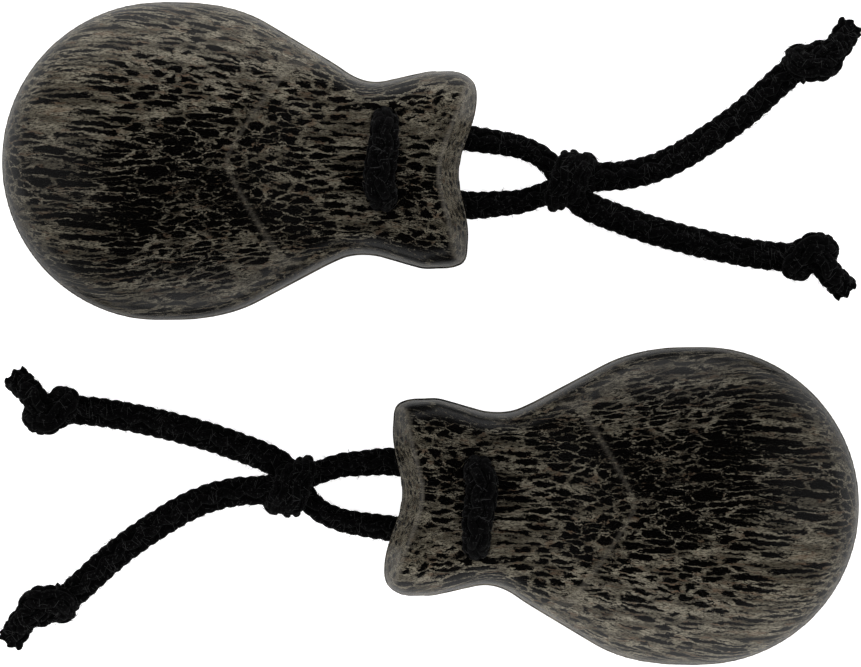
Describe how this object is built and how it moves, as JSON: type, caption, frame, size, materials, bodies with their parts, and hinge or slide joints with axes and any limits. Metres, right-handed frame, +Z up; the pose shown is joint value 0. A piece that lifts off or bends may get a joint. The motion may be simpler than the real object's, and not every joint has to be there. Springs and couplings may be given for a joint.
{
  "type": "castanets",
  "caption": "Pair of hollow hardwood hand castanets, each two shells laced at the ears by a knotted braided cord that closes into a thumb loop.",
  "frame": {"origin": "middle of the pair's box, on the table the shells and knots rest on", "axes": "+Z up; +X along the longest side, from the left castanet's disc towards its tails; +Y towards the left castanet; the pair is symmetric under a half turn about Z"},
  "size_m": [0.1364, 0.105, 0.03],
  "materials": {
    "wood": "satin varnish over black palm wood",
    "cord": "matt black braided cord"
  },
  "bodies": {
    "left_base": {"left_lower_shell": "wood", "left_cord_runs": "cord", "left_outer_leg": "cord", "left_inner_leg": "cord"},
    "left_top": {"left_upper_shell": "wood", "left_cord_bridge": "cord"},
    "left_knot": {"left_sliding_knot": "cord"},
    "left_outer_tail_run": {"left_outer_tail": "cord", "left_outer_end_knot": "cord"},
    "left_inner_tail_run": {"left_inner_tail": "cord", "left_inner_end_knot": "cord"},
    "right_base": {"right_lower_shell": "wood", "right_cord_runs": "cord", "right_outer_leg": "cord", "right_inner_leg": "cord"},
    "right_top": {"right_upper_shell": "wood", "right_cord_bridge": "cord"},
    "right_knot": {"right_sliding_knot": "cord"},
    "right_outer_tail_run": {"right_outer_tail": "cord", "right_outer_end_knot": "cord"},
    "right_inner_tail_run": {"right_inner_tail": "cord", "right_inner_end_knot": "cord"}
  },
  "joints": [
    {"name": "left_shell_rock", "type": "hinge", "parent": "left_base", "child": "left_top", "pos_m": [-0.00741, 0.02622, 0.015], "axis": [0.0279, 0.9996, 0], "range_deg": [0, 16]},
    {"name": "left_knot_slide", "type": "slide", "parent": "left_base", "child": "left_knot", "axis": [-0.9996, 0.0279, 0], "range_m": [0, 0.008], "deforming": ["left_outer_leg", "left_inner_leg"]},
    {"name": "left_outer_tail_swing", "type": "hinge", "parent": "left_knot", "child": "left_outer_tail_run", "pos_m": [0.02747, 0.02504, 0.0022], "axis": [0, 0, 1], "range_deg": [-15, 25]},
    {"name": "left_inner_tail_swing", "type": "hinge", "parent": "left_knot", "child": "left_inner_tail_run", "pos_m": [0.02622, 0.01978, 0.0022], "axis": [0, 0, 1], "range_deg": [-15, 15]},
    {"name": "right_shell_rock", "type": "hinge", "parent": "right_base", "child": "right_top", "pos_m": [0.00741, -0.02622, 0.015], "axis": [-0.0279, -0.9996, 0], "range_deg": [0, 16]},
    {"name": "right_knot_slide", "type": "slide", "parent": "right_base", "child": "right_knot", "axis": [0.9996, -0.0279, 0], "range_m": [0, 0.008], "deforming": ["right_outer_leg", "right_inner_leg"]},
    {"name": "right_outer_tail_swing", "type": "hinge", "parent": "right_knot", "child": "right_outer_tail_run", "pos_m": [-0.02747, -0.02504, 0.0022], "axis": [0, 0, 1], "range_deg": [-15, 25]},
    {"name": "right_inner_tail_swing", "type": "hinge", "parent": "right_knot", "child": "right_inner_tail_run", "pos_m": [-0.02622, -0.01978, 0.0022], "axis": [0, 0, 1], "range_deg": [-15, 15]},
    {"name": "right_castanet_lift", "type": "slide", "parent": "left_base", "child": "right_base", "axis": [0, 0, 1], "range_m": [0, 0.06]}
  ]
}
